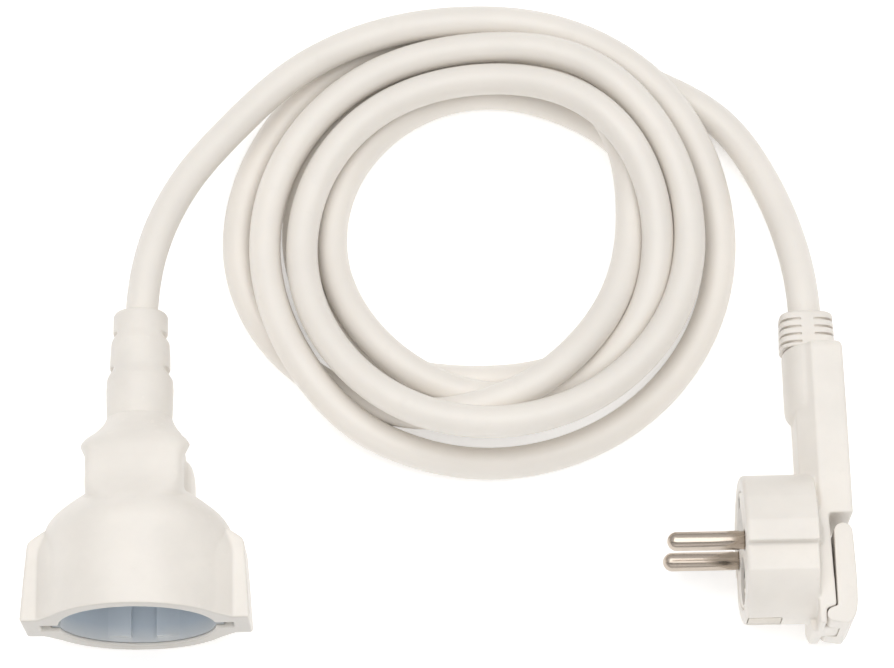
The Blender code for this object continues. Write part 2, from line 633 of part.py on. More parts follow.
def plug_strain_relief():
    """Sleeve at the top of the arm, slit from both sides round a plain spine."""
    centre = (CABLE_X, PLUG_R)
    half_x, half_z = PLUG_RELIEF_HALF
    neck = 5.6 * MM
    taper = 0.25 * MM
    sections = [(neck, neck, 2.0, 17.9 * MM), (neck, neck, 2.0, ARM_TOP_Y),
                (half_x, half_z, 3.6, ARM_TOP_Y + GAP),
                (half_x - taper, half_z - taper, 3.6, PLUG_RELIEF_END_Y - MM),
                (half_x - MM, half_z - 0.9 * MM, 3.2, PLUG_RELIEF_END_Y)]
    rings = [super_ring(a, b, power, y, 36, centre) for a, b, power, y in sections]
    relief = loft("plug_strain_relief", rings, relief_plastic())
    bore_r = CABLE_R + GAP
    cut(relief, turned("relief_bore_tool", [(bore_r, 17 * MM), (bore_r, PLUG_RELIEF_END_Y + MM)],
                       centre, "y", count=24))
    pitch = 2.05 * MM
    slots = [(36.1 * MM - pitch * i, -1) for i in range(4)] + [(36.1 * MM - pitch * i, 1) for i in range(3)]
    side_slots(relief, slots, centre, 8.5 * MM, 0.7 * MM, 5.2 * MM)
    return relief


def plug_cores():
    axis = PLUG_R / MM
    y = PLUG_Y / MM
    tail = BRIDGE_BACK_X / MM + 5.3

    def power_core(side, end):
        return [(tail, y, axis + side * 9.5), (164.7, y + 0.4, axis + side * 8.0),
                (165.6, y + 1.4, axis + side * 5.0), (167.4, y + 2.4, axis + side * 2.4),
                (169.6, -17.0, axis + side * 1.7), (170.6, -11.0, axis + side * end),
                (170.6, 0.0, axis + side * end), (170.6, 10.5, axis + side * end)]
    earth = [(161.2, y + 4.0, axis), (163.4, y + 4.0, axis), (165.4, y + 4.2, axis),
             (167.4, -18.4, axis), (168.9, -15.0, axis), (168.9, -9.0, axis),
             (168.8, 0.0, axis), (168.8, 10.5, axis)]
    core("line_core_plug", "brown", power_core(1, 1.7))
    core("neutral_core_plug", "blue", power_core(-1, 1.5))
    core("earth_core_plug", "earth", earth)


# ---------------------------------------------------------------- cable

def cord_coil():
    """Outer shape of the coil: a ring with rounded upper edges."""
    bend, half_bend = COIL_EDGE, 0.3 * COIL_EDGE
    profile = [(COIL_OUTER_R - bend, COIL_HEIGHT), (COIL_OUTER_R - half_bend, COIL_HEIGHT - half_bend),
               (COIL_OUTER_R, COIL_HEIGHT - bend), (COIL_OUTER_R, 0.0), (COIL_INNER_R, 0.0),
               (COIL_INNER_R, COIL_HEIGHT - bend), (COIL_INNER_R + half_bend, COIL_HEIGHT - half_bend),
               (COIL_INNER_R + bend, COIL_HEIGHT)]
    count = 48
    bm = bmesh.new()
    rows = []
    for i in range(count):
        c, s = math.cos(2 * math.pi * i / count), math.sin(2 * math.pi * i / count)
        rows.append([bm.verts.new((COIL_CENTRE[0] + r * c, COIL_CENTRE[1] + r * s, z)) for r, z in profile])
    for i in range(count):
        here, there = rows[i], rows[(i + 1) % count]
        for k in range(len(profile)):
            m = (k + 1) % len(profile)
            bm.faces.new((here[k], here[m], there[m], there[k]))
    bmesh.ops.recalc_face_normals(bm, faces=bm.faces)
    mesh = bpy.data.meshes.new("cord_coil")
    bm.to_mesh(mesh)
    bm.free()
    mesh.shade_smooth()
    mesh.set_sharp_from_angle(angle=math.radians(40))
    return new_object("cord_coil", mesh, cable_sheath())


def main():
    clear_scene()
    coupling_housing()
    coupling_strain_relief()
    socket_insert()
    contact_carrier()
    contact_sleeve("line_contact_sleeve", 1)
    contact_sleeve("neutral_contact_sleeve", -1)
    earth_clip("earth_clip_left", -1)
    earth_clip("earth_clip_right", 1)
    earth_bridge()
    coupling_cores()
    plug_housing()
    pin_bridge()
    contact_pin("pin_line", 1)
    contact_pin("pin_neutral", -1)
    plug_earth_bracket()
    earth_socket_sleeve()
    pull_lever()
    lever_hinge_pin()
    plug_strain_relief()
    plug_cores()
    tube("cord_socket_lead", smooth_points(SOCKET_LEAD, 2.6 * CABLE_R), CABLE_R, cable_sheath(), 3)
    tube("cord_plug_lead", smooth_points(PLUG_LEAD, 2.6 * CABLE_R), CABLE_R, cable_sheath(), 3)
    cord_coil()


main()
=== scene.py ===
"""Looks of the extension cord set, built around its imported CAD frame.

Metres, +Z up, in the frame of the CAD model: the coupling's axis is x = 0 with its mouth towards
-Y, and the plug's pins point to -X. Shapes are worked out in millimetres and scaled by MM.
"""

import math

import bmesh
import bpy
import numpy as np
from mathutils import Matrix, Vector


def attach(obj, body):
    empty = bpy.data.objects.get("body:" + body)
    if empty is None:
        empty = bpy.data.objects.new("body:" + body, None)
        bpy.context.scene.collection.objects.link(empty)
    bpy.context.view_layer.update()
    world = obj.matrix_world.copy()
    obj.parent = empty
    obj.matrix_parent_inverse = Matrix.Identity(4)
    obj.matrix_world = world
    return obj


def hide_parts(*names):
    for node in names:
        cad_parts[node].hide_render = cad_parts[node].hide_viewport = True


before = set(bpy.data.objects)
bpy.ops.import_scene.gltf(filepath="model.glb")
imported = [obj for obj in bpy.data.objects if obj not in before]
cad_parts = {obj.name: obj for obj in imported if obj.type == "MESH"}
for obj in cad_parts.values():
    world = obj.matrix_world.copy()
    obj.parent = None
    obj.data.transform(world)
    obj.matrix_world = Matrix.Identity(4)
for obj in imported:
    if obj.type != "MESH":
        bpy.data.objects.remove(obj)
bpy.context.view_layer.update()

MM = 0.001
GAP = 0.3                     # clearance between neighbouring pieces, in millimetres

# Coupling, in millimetres
BELL_R = 23.5
MOUTH_Y = -41.0
RECESS_R = 19.4
RECESS_FLOOR_Y = -23.5
CUP_R = 21.5
CUP_BACK_Y = -20.5
CARRIER_Y = -18.8
EAR_HALF_WIDTH = 28.3
EAR_HALF_HEIGHT = 7.7
CLIP_SLOT_X = 23.9
CLIP_SLOT_HALF = 2.4
PIN_HOLE_R = 2.9
PIN_PITCH_HALF = 9.5
NECK_END_Y = 11.2
RELIEF_END_Y = 41.0

# Plug, in millimetres
PLUG_R = 18.7
PLUG_Y = -23.3
FACE_X = 150.5
BODY_BACK_X = 168.4
PIN_R = 2.4
PIN_LENGTH = 19.0
BRIDGE_R = 14.5
BRIDGE_BACK_X = 158.0
POCKET_BACK_X = 167.0
FLAT_ANGLE = 30.0
RIB_HALF = 2.7
ARM_HALF = 10.9
ARM_FRONT_X = 165.5
ARM_RIDGE_X = 170.0
ARM_BACK_X = 177.9
ARM_TOP_Y = 28.6
ARM_STEP_Y = -17.0
PLATE_BACK_X = 171.8
PLATE_END_Y = -45.1
CABLE_X = 170.0
BOSS_HALF = (6.6, 9.6)
PLUG_RELIEF_HALF = (7.05, 5.8)
PLUG_RELIEF_END_Y = 38.4
HINGE = (171.9, -42.9)
KNUCKLE_R = 1.9
HINGE_PIN_R = 0.8
HINGE_PIN_HALF = 8.4
LUG_HALF = 4.0
EARTH_HOLE_Y = PLUG_Y - 10.0
EARTH_HOLE_R = 3.2
EARTH_RECESS_R = 6.0
EARTH_LIMB_HALF = 3.0

# Cable, in millimetres
CABLE_D = 8.3
CABLE_R = CABLE_D / 2
COIL_CENTRE = (89.5, 66.0)

# The cable's uncoiled stretches: centreline points given one by one, as in the CAD model.
# COIL_LEAVING joins the coil's end to the plug's lead.
SOCKET_LEAD = [(0, 27, 23.5), (0, 34, 23.5), (0, 41, 23.5), (0.9, 52, 22.9), (3.6, 64, 21.4),
               (8.2, 75, 19.3), (14.3, 85.6, 17.0), (18.4, 91.2, 15.9)]
PLUG_LEAD = [(170, 15, 18.7), (170, 24, 18.7), (170, 33, 18.7), (170, 42, 18.6), (169.6, 50, 17.2),
             (168.2, 60, 14.1), (166.3, 69, 11.2), (164.4, 76.1, 8.7)]
COIL_LEAVING = [(147, 104.2, 4.2), (157, 93.3, 5)]

# The cable in the coil, turn by turn: (degrees clockwise from +Y, radius, height of the
# centreline), given where a turn changes its course. A loop works out the rest.
COIL_TURNS = [
    (-52, 69.3, 14.4), (-38, 66.2, 13.4), (-22, 63, 12.8),
    (0, 60.6, 12.5), (45, 61, 12.6), (95, 61.3, 4.4),
    (180, 60.9, 4.3), (240, 59.7, 12.2), (280, 58.4, 10.8), (315, 55.6, 12),
    (360, 52.1, 13.2), (405, 52.4, 16.8), (450, 52.4, 14), (495, 53.6, 17), (550, 55.3, 21.8),
    (600, 51.5, 15.8), (630, 49, 12.6), (675, 46, 12.6),
    (720, 43.2, 14), (765, 43.4, 19.6), (815, 43.6, 13.6), (855, 45, 11.6), (900, 45.5, 10.6),
    (935, 43.6, 12), (985, 42.1, 5.2), (1030, 42.6, 4.2),
    (1080, 44.1, 4.2), (1125, 46.2, 4.2), (1170, 46.4, 4.2), (1215, 42.6, 4.2), (1260, 38.8, 4.2),
    (1305, 44.5, 4.2), (1350, 50.4, 4.2), (1400, 52.4, 4.2),
    (1440, 51.8, 5.2), (1485, 46, 12.2), (1530, 38.8, 10), (1575, 41.5, 13.2), (1615, 48, 16.6),
    (1665, 59, 6.5), (1710, 66.4, 4.2), (1755, 64.5, 4.2), (1800, 61.4, 4.2), (1842, 62.2, 4.2)]

IVORY = (0.80, 0.757, 0.70)

# Light: the floor's own glow, and a white surround with a dark strip across it, whose height and
# width are in degrees, counted from the front horizon
FLOOR_GLOW = 0.28
WORLD_STRENGTH = 0.72
HORIZON_SHARE = 0.55          # of that strength, at the horizon and below
FULL_HEIGHT = 0.6             # sine of the elevation above which the strength is full
STRIP_STRENGTH = 0.10
STRIP_HEIGHT = 60.0
STRIP_HALF_WIDTH = 8.0
STRIP_EDGE = 3.0


# ---------------------------------------------------------------- camera

def make_camera():
    """Long lens from the front and above, leaning a little to one side; lengths in millimetres."""
    elevation, roll = math.radians(70.5), math.radians(1.2)
    target, distance = Vector((78.1, 42.46, 0.0)), 866.0
    ahead = Vector((0.0, math.cos(elevation), -math.sin(elevation)))
    level = Vector((1.0, 0.0, 0.0))
    steep = Vector((0.0, math.sin(elevation), math.cos(elevation)))
    right = math.cos(roll) * level - math.sin(roll) * steep
    up = math.sin(roll) * level + math.cos(roll) * steep
    data = bpy.data.cameras.new("camera")
    data.sensor_width = 36.0
    data.lens = 132.9
    data.clip_start = 0.05
    camera = bpy.data.objects.new("camera", data)
    bpy.context.scene.collection.objects.link(camera)
    turn = Matrix((right, up, -ahead)).transposed().to_4x4()
    camera.matrix_world = Matrix.Translation((target - ahead * distance) * MM) @ turn
    bpy.context.scene.camera = camera


# ---------------------------------------------------------------- the cable's route

def smooth_points(knots, per_knot):
    """Catmull-Rom curve through the knots."""
    knots = np.array(knots, float)
    ends = np.vstack([2 * knots[0] - knots[1], knots, 2 * knots[-1] - knots[-2]])
    points = []
    for before, here, there, after in zip(ends, ends[1:], ends[2:], ends[3:]):
        for t in np.arange(per_knot) / per_knot:
            points.append(0.5 * (2 * here + (there - before) * t
                                 + (2 * before - 5 * here + 4 * there - after) * t ** 2
                                 + (3 * here - before - 3 * there + after) * t ** 3))
    return np.array([*points, knots[-1]])


def even_points(points, spacing):
    """Points on the same line, an even spacing apart."""
    lengths = np.concatenate([[0.0], np.cumsum(np.linalg.norm(np.diff(points, axis=0), axis=1))])
    count = round(lengths[-1] / spacing) + 1
    wanted = np.linspace(0.0, lengths[-1], count)
    return np.column_stack([np.interp(wanted, lengths, points[:, k]) for k in range(3)])


def flowing(table, step=0.6):
    """Rows at close steps of the first column, the others on smooth curves without overshoot."""
    table = np.array(table, float)
    first = table[:, 0]
    widths = np.diff(first)
    columns = []
    wanted = np.linspace(first[0], first[-1], max(3, round((first[-1] - first[0]) / step) + 1))
    for values in table[:, 1:].T:
        slopes = np.diff(values) / widths
        tangent = np.concatenate([[slopes[0]], np.zeros(len(slopes) - 1), [slopes[-1]]])
        for i in range(1, len(slopes)):
            if slopes[i - 1] * slopes[i] > 0:
                tangent[i] = 2 * slopes[i - 1] * slopes[i] / (slopes[i - 1] + slopes[i])
        index = np.clip(np.searchsorted(first, wanted, side="right") - 1, 0, len(slopes) - 1)
        after = index + 1
        h = widths[index]
        t = (wanted - first[index]) / h
        columns.append((1 + 2 * t) * (1 - t) ** 2 * values[index] + t * (1 - t) ** 2 * h * tangent[index]
                       + t * t * (3 - 2 * t) * values[after] + t * t * (t - 1) * h * tangent[after])
    return list(zip(wanted, *columns))


def softened(points, rounds, share=0.5):
    """Moves each point towards the middle of its neighbours; the two ends stay."""
    points = points.copy()
    for _ in range(rounds):
        points[1:-1] += share * (0.5 * (points[:-2] + points[2:]) - points[1:-1])
    return points


def coil_points():
    """The coil's turns, a point about every three degrees."""
    angles, radius, height = np.array(flowing(COIL_TURNS, step=3.0)).T
    x = COIL_CENTRE[0] + radius * np.sin(np.radians(angles))
    y = COIL_CENTRE[1] + radius * np.cos(np.radians(angles))
    return np.column_stack([x, y, height])


def settled(route, rounds=160):
    """Lets the turns push each other a diameter apart while they keep near their places."""
    apart = 12                 # points this near along the cable may be close
    held, freed = 14, 10.0     # points at each end that stay, and points over which the hold fades
    firm, late = 0.12, 0.03    # pull towards each point's own place, at first and in the last rounds
    push_share = 1.2           # turns are pushed a little further apart than they need
    count = len(route)
    first, second = np.triu_indices(count, apart)
    order = np.arange(count)
    free = np.clip((np.minimum(order, count - 1 - order) - held) / freed, 0.0, 1.0)[:, None]
    target = route.copy()
    points = route.copy()
    for step in range(rounds):
        pull = firm if step < 0.7 * rounds else late
        moved = points + pull * (target - points)
        for _ in range(3):
            offset = moved[first] - moved[second]
            distance = np.linalg.norm(offset, axis=1)
            close = distance < CABLE_D
            push = (0.5 * (CABLE_D - distance[close]) / distance[close])[:, None] * offset[close]
            shift = np.zeros_like(moved)
            shares = np.zeros(count)
            for index, sign in ((first, 1.0), (second, -1.0)):
                np.add.at(shift, index[close], sign * push)
                np.add.at(shares, index[close], 1.0)
            moved += push_share * shift / np.maximum(shares, 1.0)[:, None]
            moved[:, 2] = np.maximum(moved[:, 2], CABLE_R)
        moved = target + softened(moved - target, rounds=4)
        moved[:, 2] = np.maximum(moved[:, 2], CABLE_R)
        points += free * (moved - points)
    return points


def cable_route():
    """From the coupling through the coil to the plug. The coil's first point stands in for the
    last one of the coupling's lead. Each lead is drawn on over a stretch of the coil, so that it
    meets it smoothly, and that stretch is dropped again."""
    per_knot = 12
    coil = coil_points()
    lead_in = smooth_points([*SOCKET_LEAD[:-1], coil[0], coil[4]], per_knot)[:-per_knot - 1]
    lead_out = smooth_points([coil[-5], coil[-1], *COIL_LEAVING, *reversed(PLUG_LEAD)], per_knot)[per_knot:]
    route = np.vstack([lead_in, coil[1:-1], lead_out])
    return settled(softened(even_points(route, spacing=3.4), rounds=8))


def make_cable():
    """The whole cable as one round curve; returns it with its length in metres."""
    points = even_points(smooth_points(cable_route(), per_knot=4), spacing=2.0)
    length = float(np.linalg.norm(np.diff(points, axis=0), axis=1).sum()) * MM
    curve = bpy.data.curves.new("cable", "CURVE")
    curve.dimensions = "3D"
    curve.bevel_depth = CABLE_R * MM
    curve.bevel_resolution = 7
    curve.use_fill_caps = True
    spline = curve.splines.new("POLY")
    spline.points.add(len(points) - 1)
    for target, point in zip(spline.points, points):
        target.co = (*(Vector(point) * MM), 1.0)
    cable = bpy.data.objects.new("cable", curve)
    bpy.context.scene.collection.objects.link(cable)
    curve.materials.append(cable_sheath())
    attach(cable, "cord_set")
    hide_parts("cord_coil", "cord_socket_lead", "cord_plug_lead")
    return cable, length


# ---------------------------------------------------------------- materials

class Nodes:
    """A material's node tree, with the few nodes that the finishes share."""

    def __init__(self, name, **settings):
        self.material = bpy.data.materials.new(name)
        self.material.use_nodes = True
        self.tree = self.material.node_tree
        self.shader = self.tree.nodes["Principled BSDF"]
        for socket, value in settings.items():
            self.shader.inputs[socket.replace("_", " ")].default_value = value
        self.place = self.node("ShaderNodeTexCoord").outputs["Object"]

    def node(self, kind, inputs=(), **properties):
        made = self.tree.nodes.new(kind)
        for key, value in properties.items():
            setattr(made, key, value)
        for key, value in dict(inputs).items():
            if hasattr(value, "is_output"):
                self.tree.links.new(value, made.inputs[key])
            else:
                made.inputs[key].default_value = value
        return made

    def noise(self, scale, detail=3.0, roughness=0.55, stretch=(1.0, 1.0, 1.0)):
        place = self.node("ShaderNodeMapping", {"Vector": self.place, "Scale": stretch})
        return self.node("ShaderNodeTexNoise", {"Vector": place.outputs["Vector"], "Scale": scale,
                                                "Detail": detail, "Roughness": roughness}).outputs["Fac"]

    def ramp(self, value, low, high, start, end):
        """Value between low and high becomes a value between start and end."""
        return self.node("ShaderNodeMapRange", {"Value": value, "From Min": low, "From Max": high,
                                                "To Min": start, "To Max": end}).outputs["Result"]

    def mix(self, share, first, second):
        made = self.node("ShaderNodeMix", {0: share}, data_type="RGBA")
        for socket, colour in ((made.inputs[6], first), (made.inputs[7], second)):
            if hasattr(colour, "is_output"):
                self.tree.links.new(colour, socket)
            else:
                socket.default_value = (*colour, 1.0)
        return made.outputs[2]

    def bump(self, height, distance, strength=1.0, under=None):
        made = self.node("ShaderNodeBump", {"Height": height, "Strength": strength,
                                            "Distance": distance * MM})
        if under:
            self.tree.links.new(under, made.inputs["Normal"])
        return made.outputs["Normal"]

    def finish(self, colour, roughness, normal):
        self.tree.links.new(colour, self.shader.inputs["Base Color"])
        self.tree.links.new(roughness, self.shader.inputs["Roughness"])
        self.tree.links.new(normal, self.shader.inputs["Normal"])
        return self.material


def scaled(colour, by):
    return tuple(min(1.0, channel * by) for channel in colour)


made_materials = {}


def kept(maker):
    """Each finish is made once and shared."""
    def get():
        if maker.__name__ not in made_materials:
            made_materials[maker.__name__] = maker()
        return made_materials[maker.__name__]
    return get


def plastic(name, colour, roughness, grain=0.010, haze=0.03, subsurface=0.06, outer=None):
    """Moulded plastic: eroded grain, flow clouding, and convex edges a little lighter as a painted
    highlight.
    With outer, which is (axis, start, end, colour), it has that colour before the start and its own after
    the end."""
    n = Nodes(name, IOR=1.49, Subsurface_Weight=subsurface, Subsurface_Radius=(1.0, 0.75, 0.5),
              Subsurface_Scale=1.2 * MM)
    cloud = n.noise(70.0, 4.0)
    speckle = n.noise(5200.0, 2.0)
    soft_spots = n.noise(420.0, 3.0)
    base = n.mix(n.ramp(cloud, 0.35, 0.65, 0.0, 1.0),
                 scaled(colour, 1.0 - haze), scaled(colour, 1.0 + haze))
    if outer:
        axis, start, end, outer_colour = outer
        depth = n.node("ShaderNodeSeparateXYZ", {"Vector": n.place}).outputs[axis]
        base = n.mix(n.ramp(depth, start * MM, end * MM, 1.0, 0.0), base, outer_colour)
    base = n.mix(n.ramp(soft_spots, 0.62, 0.75, 0.0, 0.25), base, scaled(colour, 0.93))
    # Painted highlight: convex edges are painted a little lighter.
    painted_edge_highlight = n.node("ShaderNodeNewGeometry").outputs["Pointiness"]
    base = n.mix(n.ramp(painted_edge_highlight, 0.52, 0.60, 0.0, 0.35), base, scaled(colour, 1.07))
    shine = n.ramp(cloud, 0.3, 0.7, roughness - 0.04, roughness + 0.05)
    normal = n.bump(speckle, grain)
    normal = n.bump(soft_spots, 0.03, 0.6, normal)
    return n.finish(base, shine, normal)


@kept
def housing_plastic():
    return plastic("housing_plastic", IVORY, 0.40)


@kept
def relief_plastic():
    return plastic("relief_plastic", scaled(IVORY, 0.985), 0.48, grain=0.014)


@kept
def insert_plastic():
    """Painted shade: bluish grey in the depth of the recess, running out to a pale grey at its mouth."""
    # Painted shade: the colour darkens to bluish grey with depth into the recess, where shade falls.
    deep, pale = (0.57, 0.625, 0.68), (0.74, 0.74, 0.73)
    return plastic("insert_plastic", deep, 0.34, outer=("Y", MOUTH_Y + 0.8, MOUTH_Y + 5.2, pale))


@kept
def shell_plastic_painted_rim_shade():
    """Housing plastic with painted shade: the face round the mouth is painted darker."""
    # Painted shade for the mouth's front face, which faces away from the light.
    rim = scaled(IVORY, 0.76)
    return plastic("shell_plastic_painted_rim_shade", IVORY, 0.42, outer=("Y", MOUTH_Y + 0.05, MOUTH_Y + 0.3, rim))


@kept
def bridge_plastic_painted_hole_shade():
    """Ivory face, with near black painted shade behind it, on the walls of the pin and earth openings."""
    # Painted shade: near black for the shade inside the disc's openings.
    dark = (0.10, 0.095, 0.09)
    return plastic("bridge_plastic_painted_hole_shade", dark, 0.45, outer=("X", FACE_X + 0.9, FACE_X + 1.3, IVORY))


@kept
def cable_sheath():
    """Extruded PVC: fine lines along the cable, a faint lay of the cores, soft shine."""
    n = Nodes("cable_sheath", IOR=1.52, Subsurface_Weight=0.08, Subsurface_Radius=(1.0, 0.8, 0.55),
              Subsurface_Scale=1.4 * MM)
    cloud = n.noise(38.0, 4.0)
    smear = n.noise(260.0, 3.0)
    skin = n.noise(3600.0, 2.0)
    base = n.mix(n.ramp(cloud, 0.35, 0.65, 0.0, 1.0), scaled(IVORY, 0.975), scaled(IVORY, 1.02))
    base = n.mix(n.ramp(smear, 0.60, 0.78, 0.0, 0.3), base, scaled(IVORY, 0.92))
    shine = n.ramp(smear, 0.3, 0.7, 0.36, 0.47)
    normal = n.bump(n.noise(95.0, 2.0), 0.12, 0.5)
    normal = n.bump(skin, 0.008, 1.0, normal)
    return n.finish(base, shine, normal)


def metal(name, colour, roughness, brush):
    """Plated metal: lines of polishing, small pits and a little tarnish."""
    n = Nodes(name, Metallic=1.0)
    lines = n.noise(900.0, 3.0, 0.6, brush)
    tarnish = n.noise(160.0, 4.0)
    pits = n.noise(3000.0, 2.0)
    base = n.mix(n.ramp(tarnish, 0.45, 0.75, 0.0, 0.6), colour, scaled(colour, 0.86))
    shine = n.ramp(lines, 0.3, 0.7, roughness - 0.04, roughness + 0.08)
    normal = n.bump(lines, 0.004)
    normal = n.bump(pits, 0.003, 0.7, normal)
    return n.finish(base, shine, normal)


@kept
def pin_nickel():
    return metal("pin_nickel", (0.55, 0.475, 0.405), 0.22, (0.05, 1.0, 1.0))


@kept
def strip_nickel():
    return metal("strip_nickel", (0.58, 0.54, 0.48), 0.32, (1.0, 0.2, 1.0))


@kept
def brass():
    return metal("brass", (0.78, 0.58, 0.27), 0.30, (1.0, 0.1, 1.0))


def core_insulation(name, colour):
    """Smooth insulation of one of the cable's cores."""
    return plastic(name, colour, 0.45, grain=0.006, haze=0.05, subsurface=0.0)


# ---------------------------------------------------------------- shape helpers

def new_object(name, mesh):
    thing = bpy.data.objects.new(name, mesh)
    bpy.context.scene.collection.objects.link(thing)
    return thing


def loft(name, rings):
    """Closed solid through rings of points, all with the same count, given in millimetres."""
    bm = bmesh.new()
    rows = [[bm.verts.new(Vector(point) * MM) for point in ring] for ring in rings]
    count = len(rows[0])
    for lower, upper in zip(rows, rows[1:]):
        for i in range(count):
            j = (i + 1) % count
            bm.faces.new((lower[i], lower[j], upper[j], upper[i]))
    bm.faces.new(rows[0])
    bm.faces.new(rows[-1])
    bmesh.ops.recalc_face_normals(bm, faces=bm.faces)
    mesh = bpy.data.meshes.new(name)
    bm.to_mesh(mesh)
    bm.free()
    return new_object(name, mesh)


def prism(outline, axis, low, high, name="tool"):
    """Outline (pairs in X, Y, Z order without the axis) pushed along an axis."""
    def point(pair, along):
        values = list(pair)
        values.insert("xyz".index(axis), along)
        return values
    return loft(name, [[point(pair, along) for pair in outline] for along in (low, high)])


def box(low, high, name="tool"):
    outline = [(low[0], low[1]), (high[0], low[1]), (high[0], high[1]), (low[0], high[1])]
    return prism(outline, "z", low[2], high[2], name)


def turned(profile, centre, axis, name="tool", count=96):
    """Solid of revolution; profile is (radius, place along the axis) from end to end."""
    rings = []
    for radius, along in profile:
        ring = []
        for i in range(count):
            u = radius * math.cos(2 * math.pi * i / count)
            v = radius * math.sin(2 * math.pi * i / count)
            ring.append({"x": (along, centre[0] + u, centre[1] + v),
                         "y": (centre[0] + u, along, centre[1] + v),
                         "z": (centre[0] + u, centre[1] + v, along)}[axis])
        rings.append(ring)
    return loft(name, rings)


def rounded(corners, count=6):
    """Outline whose corners (x, y, radius) are rounded off, each over less than half a side."""
    most = 0.48
    outline = []
    for i, (x, y, radius) in enumerate(corners):
        here = Vector((x, y))
        back = Vector(corners[i - 1][:2]) - here
        on = Vector(corners[(i + 1) % len(corners)][:2]) - here
        if radius <= 0:
            outline.append((x, y))
            continue
        half = back.angle(on) / 2
        reach = min(radius / math.tan(half), most * back.length, most * on.length)
        start, end = here + back.normalized() * reach, here + on.normalized() * reach
        for k in range(count + 1):
            t = k / count
            point = (1 - t) ** 2 * start + 2 * t * (1 - t) * here + t ** 2 * end
            outline.append((point.x, point.y))
    return outline


def combine(target, operation, tools):
    for tool in tools:
        boolean = target.modifiers.new("shape", "BOOLEAN")
        boolean.operation = operation
        boolean.solver = "EXACT"
        boolean.object = tool


def add(target, *tools):
    combine(target, "UNION", tools)


def cut(target, *tools):
    combine(target, "DIFFERENCE", tools)


def settle(thing):
    """Turns an object's modifiers into its own mesh and removes the cutters."""
    cutters = [modifier.object for modifier in thing.modifiers if modifier.type == "BOOLEAN"]
    evaluated = thing.evaluated_get(bpy.context.evaluated_depsgraph_get())
    mesh = bpy.data.meshes.new_from_object(evaluated)
    thing.modifiers.clear()
    thing.data = mesh
    for cutter in cutters:
        bpy.data.objects.remove(cutter, do_unlink=True)


def mould(thing, voxel, rounds=4):
    """Gives a solid the soft edges and fillets of a moulding."""
    settle(thing)
    remesh = thing.modifiers.new("skin", "REMESH")
    remesh.mode = "VOXEL"
    remesh.voxel_size = voxel * MM
    remesh.use_smooth_shade = True
    smooth = thing.modifiers.new("soften", "SMOOTH")
    smooth.factor = 0.5
    smooth.iterations = rounds
    settle(thing)
    thing.data.shade_smooth()


def bevelled(thing, width, degrees=35.0):
    """Gives a solid narrow rounded edges and smooth round faces."""
    settle(thing)
    bevel = thing.modifiers.new("edges", "BEVEL")
    bevel.width = width * MM
    bevel.segments = 3
    bevel.limit_method = "ANGLE"
    bevel.angle_limit = math.radians(degrees)
    settle(thing)
    thing.data.shade_smooth()
    thing.data.set_sharp_from_angle(angle=math.radians(degrees))


def place(thing, name, finish, slot, *nodes, body="cord_set"):
    """Names a finished piece and puts it on its body in place of its CAD nodes."""
    thing.name = name
    thing.data.name = name
    thing.data.materials.clear()
    thing.data.materials.append(finish)
    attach(thing, body)
    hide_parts(*nodes)
    return thing


# ---------------------------------------------------------------- coupling

def super_ring(half_x, half_z, power, y, count=128, centre=(0.0, BELL_R)):
    """Section across Y: an ellipse that grows squarer with its power."""
    ring = []
    for i in range(count):
        c, s = math.cos(2 * math.pi * i / count), math.sin(2 * math.pi * i / count)
        x = half_x * math.copysign(abs(c) ** (2 / power), c)
        z = half_z * math.copysign(abs(s) ** (2 / power), s)
        ring.append((centre[0] + x, y, centre[1] + z))
    return ring


def bell_shape():
    """Round bell whose dome closes inside the neck."""
    dome = flowing([(MOUTH_Y, BELL_R), (-18.8, BELL_R), (-17.0, 23.15), (-15.2, 22.2), (-13.6, 20.9),
                    (-11.4, 18.4), (-9.9, 16.5), (-8.3, 14.3), (-6.6, 11.6), (-5.0, 8.5)])
    return loft("coupling_shell", [super_ring(radius, radius, 2.0, y, 192) for y, radius in dome])


def neck_shape():
    """Box-like neck that swells to a collar and draws in round the strain relief."""
    sections = flowing([(-15.6, 17.0, 22.4, 2.1), (-13.8, 14.6, 21.2, 2.5), (-12.0, 12.8, 19.8, 3.4),
                        (-10.0, 12.25, 18.5, 6.0), (-7.0, 12.2, 17.3, 11.0), (-3.0, 12.2, 16.5, 12.0),
                        (-0.6, 12.4, 16.1, 10.0), (1.2, 13.2, 15.8, 8.0), (2.6, 13.9, 15.4, 6.0),
                        (4.2, 13.5, 14.6, 4.6), (7.2, 11.4, 12.0, 3.0), (9.4, 9.9, 10.3, 2.4),
                        (11.4, 8.8, 8.9, 2.1), (NECK_END_Y + 1.6, 8.3, 8.3, 2.0)])
    return loft("tool", [super_ring(a, b, power, y, 192) for y, a, b, power in sections])


def side_recess(side):
    """Shallow pocket along the neck's side, for the grip; the right one is the deeper."""
    wall = 11.0 if side > 0 else 12.0
    low, high = sorted((side * wall, side * 17.0))
    return box((low, -7.6, BELL_R - 18.0), (high, 7.5, BELL_R + 10.5))


def ear_fillet(side, up):
    """Slope between the bell and an ear's flat face, running out where the ear begins."""
    root = Vector((side * 22.0, up * (EAR_HALF_HEIGHT - 0.2)))
    corners = [Vector((side * 19.4, up * 12.9)), Vector((side * 24.4, up * (EAR_HALF_HEIGHT - 0.3))),
               Vector((side * 19.4, up * (EAR_HALF_HEIGHT - 0.3)))]
    rings = []
    for share, y in ((0.04, -18.6), (0.45, -20.4), (0.85, -22.6), (1.0, -25.0), (1.0, MOUTH_Y)):
        points = [root + (corner - root) * share for corner in corners]
        rings.append([(x, y, BELL_R + z) for x, z in points])
    return loft("tool", rings)


